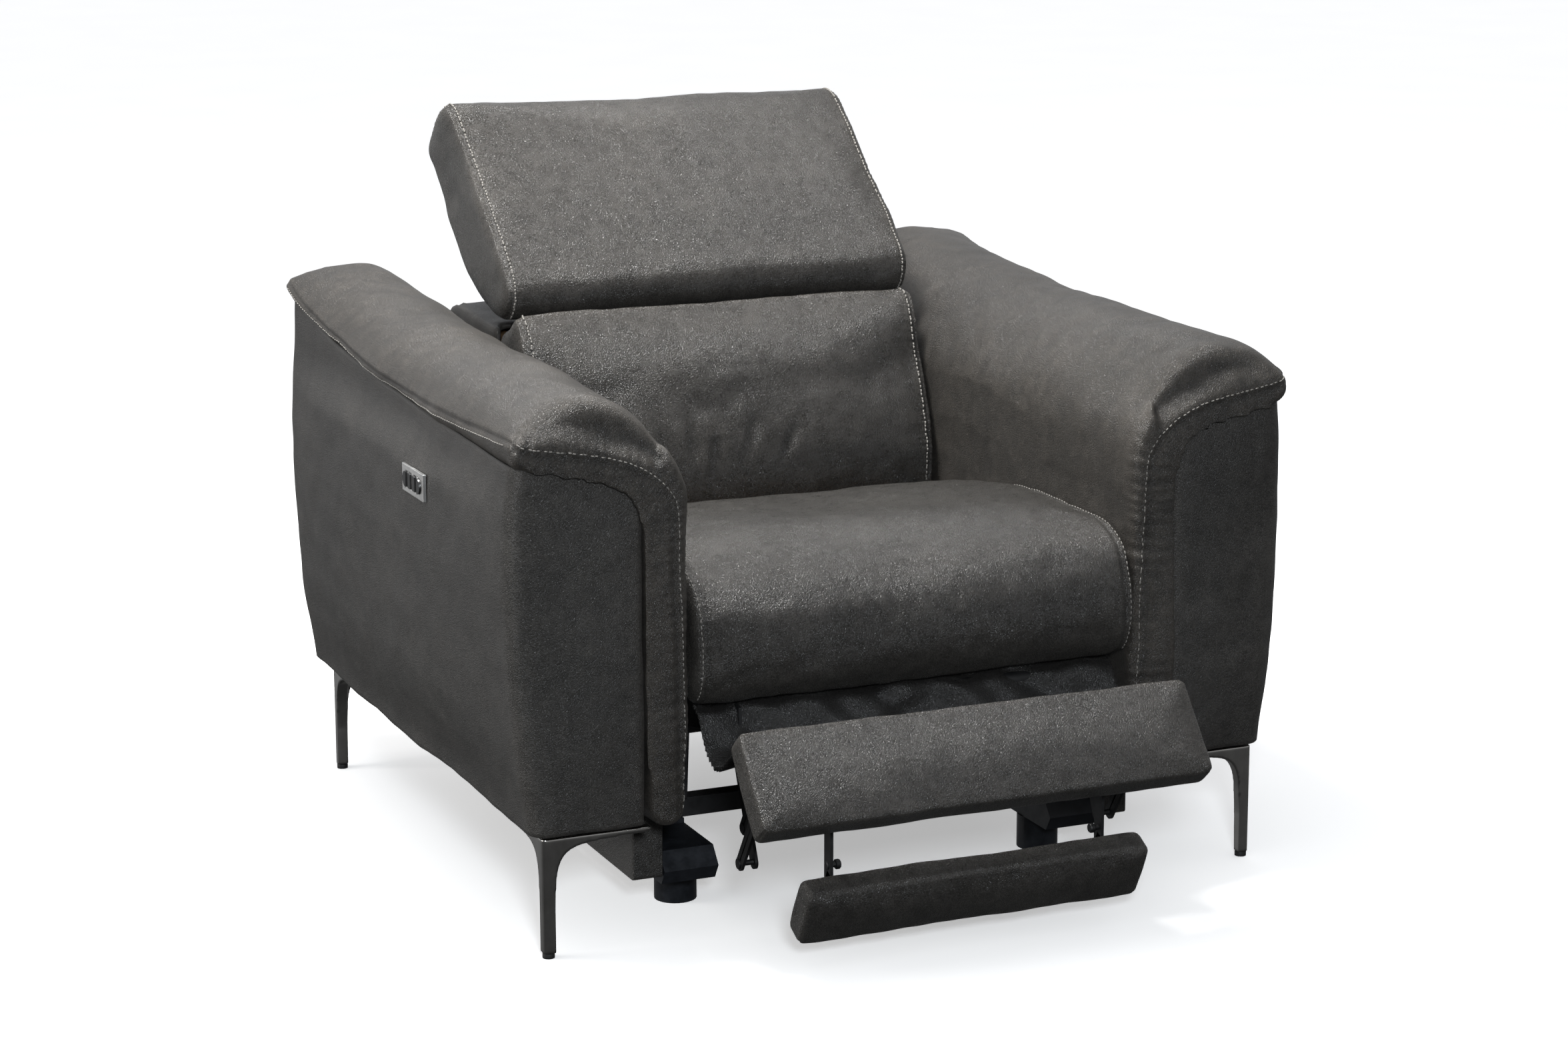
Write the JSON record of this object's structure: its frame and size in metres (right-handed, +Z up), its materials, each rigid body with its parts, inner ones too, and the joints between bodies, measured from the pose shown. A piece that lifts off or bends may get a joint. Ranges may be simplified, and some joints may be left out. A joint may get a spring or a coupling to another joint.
{
  "type": "recliner armchair",
  "caption": "Power recliner armchair with fixed padded arms on slim metal legs, reclining back, tilting headrest and a two-stage folding footrest.",
  "frame": {"origin": "on the floor under the middle of the chair's box at rest", "axes": "-Y is the front, +Z is up, +X is to the right of a viewer facing the back of the chair from the front (the control panel is on the -X arm)"},
  "size_m": [1.0805, 1.2094, 0.932],
  "materials": {
    "wood": "raw plywood",
    "outer_leather": "grained, semi-gloss",
    "cap_leather": "grained, semi-gloss",
    "cushion_leather": "grained, semi-gloss",
    "skirt_leather": "grained, semi-gloss",
    "leg_metal": "dark polished",
    "glide_plastic": "matt",
    "black_steel": "satin black",
    "stand_plastic": "satin black",
    "spring_steel": "satin",
    "black_plastic": "matt",
    "panel_metal": "satin",
    "button_metal": "satin"
  },
  "bodies": {
    "chair": {"arm_frame_left": "wood", "arm_frame_right": "wood", "arm_body_left": "outer_leather", "arm_body_right": "outer_leather", "arm_cap_left": "cap_leather", "arm_cap_right": "cap_leather", "leg_front_left": "leg_metal", "leg_front_right": "leg_metal", "leg_rear_left": "leg_metal", "leg_rear_right": "leg_metal", "leg_glides": "glide_plastic", "base_rail_left": "outer_leather", "base_rail_right": "outer_leather", "cross_tube_front": "black_steel", "cross_tube_rear": "black_steel", "stand_front_left": "stand_plastic", "stand_front_right": "stand_plastic", "stand_rear_left": "stand_plastic", "stand_rear_right": "stand_plastic", "side_plate_left": "black_steel", "side_plate_right": "black_steel", "motor_bar": "black_steel", "seat_rail_front": "wood", "seat_rail_rear": "wood", "seat_rail_left": "wood", "seat_rail_right": "wood", "seat_springs": "spring_steel", "seat_cushion": "cushion_leather", "skirt": "skirt_leather", "recline_motor": "black_plastic", "power_supply": "black_plastic", "power_inlet": "black_plastic", "control_housing": "black_plastic", "control_plate": "panel_metal"},
    "key_recline": {"button_recline": "button_metal"},
    "key_raise": {"button_raise": "button_metal"},
    "key_head_back": {"button_head_back": "button_metal"},
    "key_head_forward": {"button_head_forward": "button_metal"},
    "backrest": {"back_side_left": "wood", "back_side_right": "wood", "back_rail_top": "wood", "back_rail_bottom": "wood", "back_springs": "spring_steel", "back_hinges": "black_steel", "headrest_ears": "black_steel", "back_cover": "outer_leather", "back_cushion": "cushion_leather", "headrest_motor": "black_plastic"},
    "headrest": {"headrest_frame": "spring_steel", "headrest_pad": "cushion_leather"},
    "head_actuator_rod": {"headrest_rod": "spring_steel"},
    "lift": {"lift_arms": "black_steel"},
    "reach_left": {"reach_arm_left": "black_steel"},
    "reach_right": {"reach_arm_right": "black_steel"},
    "follow_left": {"follow_link_left": "black_steel"},
    "follow_right": {"follow_link_right": "black_steel"},
    "recline_actuator_rod": {"recline_rod": "spring_steel"},
    "footrest": {"footrest_board": "black_steel", "footrest_pad": "cushion_leather"},
    "flap_panel": {"flap": "cushion_leather"}
  },
  "joints": [
    {"name": "back_recline", "type": "hinge", "parent": "chair", "child": "backrest", "pos_m": [0, 0.23, 0.3], "axis": [-1, 0, 0], "range_deg": [0, 32]},
    {"name": "headrest_tilt", "type": "hinge", "parent": "backrest", "child": "headrest", "pos_m": [0, 0.308, 0.7], "axis": [1, 0, 0], "range_deg": [0, 45]},
    {"name": "head_rod_slide", "type": "slide", "parent": "backrest", "child": "head_actuator_rod", "axis": [0, 0.1305, 0.9914], "range_m": [-0.001, 0.0312]},
    {"name": "footrest_extend", "type": "hinge", "parent": "chair", "child": "lift", "pos_m": [0, -0.352, 0.272], "axis": [-1, 0, 0], "range_deg": [-42.72, 56.64], "deforming": ["skirt"]},
    {"name": "reach_left_turn", "type": "hinge", "parent": "lift", "child": "reach_left", "pos_m": [0, -0.407, 0.144], "axis": [-1, 0, 0], "range_deg": [-70.32, 53.13]},
    {"name": "reach_right_turn", "type": "hinge", "parent": "lift", "child": "reach_right", "pos_m": [0, -0.407, 0.144], "axis": [-1, 0, 0], "range_deg": [-70.32, 53.13]},
    {"name": "follow_left_turn", "type": "hinge", "parent": "lift", "child": "follow_left", "pos_m": [0, -0.42358, 0.10541], "axis": [-1, 0, 0], "range_deg": [-71.27, 53.84]},
    {"name": "follow_right_turn", "type": "hinge", "parent": "lift", "child": "follow_right", "pos_m": [0, -0.42358, 0.10541], "axis": [-1, 0, 0], "range_deg": [-71.27, 53.84]},
    {"name": "panel_turn", "type": "hinge", "parent": "reach_right", "child": "footrest", "pos_m": [0, -0.48174, 0.26133], "axis": [-1, 0, 0], "range_deg": [-49.1, 64.99]},
    {"name": "flap_turn", "type": "hinge", "parent": "footrest", "child": "flap_panel", "pos_m": [0, -0.5263, 0.18172], "axis": [-1, 0, 0], "range_deg": [-49.02, 64.89]},
    {"name": "recline_rod_slide", "type": "slide", "parent": "chair", "child": "recline_actuator_rod", "axis": [0, -1, 0], "range_m": [-0.0242, 0.0319]},
    {"name": "press_recline", "type": "slide", "parent": "chair", "child": "key_recline", "axis": [1, 0, 0], "range_m": [0, 0.002], "stiffness_N_per_m": 400},
    {"name": "press_raise", "type": "slide", "parent": "chair", "child": "key_raise", "axis": [1, 0, 0], "range_m": [0, 0.002], "stiffness_N_per_m": 400},
    {"name": "press_head_back", "type": "slide", "parent": "chair", "child": "key_head_back", "axis": [1, 0, 0], "range_m": [0, 0.002], "stiffness_N_per_m": 400},
    {"name": "press_head_forward", "type": "slide", "parent": "chair", "child": "key_head_forward", "axis": [1, 0, 0], "range_m": [0, 0.002], "stiffness_N_per_m": 400}
  ],
  "couplings": [
    {"joint": "reach_left_turn", "follows": "footrest_extend", "ratio": -1.2364},
    {"joint": "reach_right_turn", "follows": "footrest_extend", "ratio": -1.2364},
    {"joint": "follow_left_turn", "follows": "footrest_extend", "ratio": -1.2531},
    {"joint": "follow_right_turn", "follows": "footrest_extend", "ratio": -1.2531},
    {"joint": "panel_turn", "follows": "footrest_extend", "ratio": 1.1422},
    {"joint": "flap_turn", "follows": "footrest_extend", "ratio": 1.1404},
    {"joint": "recline_rod_slide", "follows": "footrest_extend", "m_per_rad": 0.0318},
    {"joint": "head_rod_slide", "follows": "headrest_tilt", "m_per_rad": 0.03897}
  ]
}
